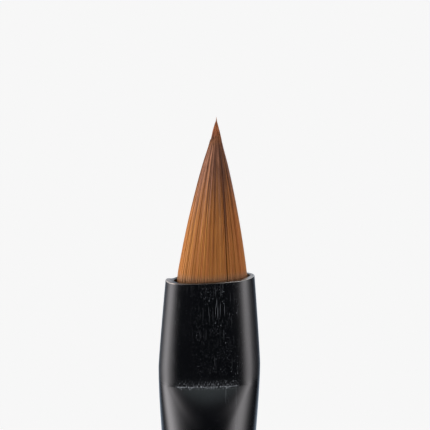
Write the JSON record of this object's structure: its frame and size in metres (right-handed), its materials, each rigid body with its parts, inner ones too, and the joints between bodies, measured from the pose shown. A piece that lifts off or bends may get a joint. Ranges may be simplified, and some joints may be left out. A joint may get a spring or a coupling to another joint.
{
  "type": "acrylic nail brush",
  "caption": "Slim round-handled brush with a black crimped metal ferrule and a pointed two-tone hair tuft that flexes at the mouth, for picking up and shaping nail acrylic.",
  "frame": {"origin": "centre of the small flat on the butt end of the handle", "axes": "+Z along the handle towards the tip of the hair, +X the wide way across the flattened ferrule (towards the higher end of its slanted mouth), -Y the front flat of the ferrule"},
  "size_m": [0.0102, 0.0098, 0.18],
  "materials": {
    "black_lacquered_metal": "gloss black lacquer, bare silver metal on the lip of the mouth, fine scratches",
    "belly_hair": "fine straight hair, caramel brown darkening to mahogany towards the tip",
    "point_hair": "fine straight hair, mahogany with an orange tip",
    "root_hair": "packed straight hair",
    "thread": "plain pale thread",
    "resin": "set amber resin",
    "adhesive": "thin set adhesive",
    "lacquered_wood": "gloss black lacquer"
  },
  "bodies": {
    "brush": {"ferrule": "black_lacquered_metal", "hair_root": "root_hair", "binding_thread": "thread", "resin_plug": "resin", "handle_glue": "adhesive", "handle": "lacquered_wood"},
    "tuft": {"belly_hairs": "belly_hair", "point_hairs": "point_hair"}
  },
  "joints": [
    {"name": "tuft_flex", "type": "hinge", "parent": "brush", "child": "tuft", "pos_m": [0, 0, 0.1638], "axis": [1, 0, 0], "range_deg": [-20, 20], "stiffness_Nm_per_rad": 0.004}
  ]
}
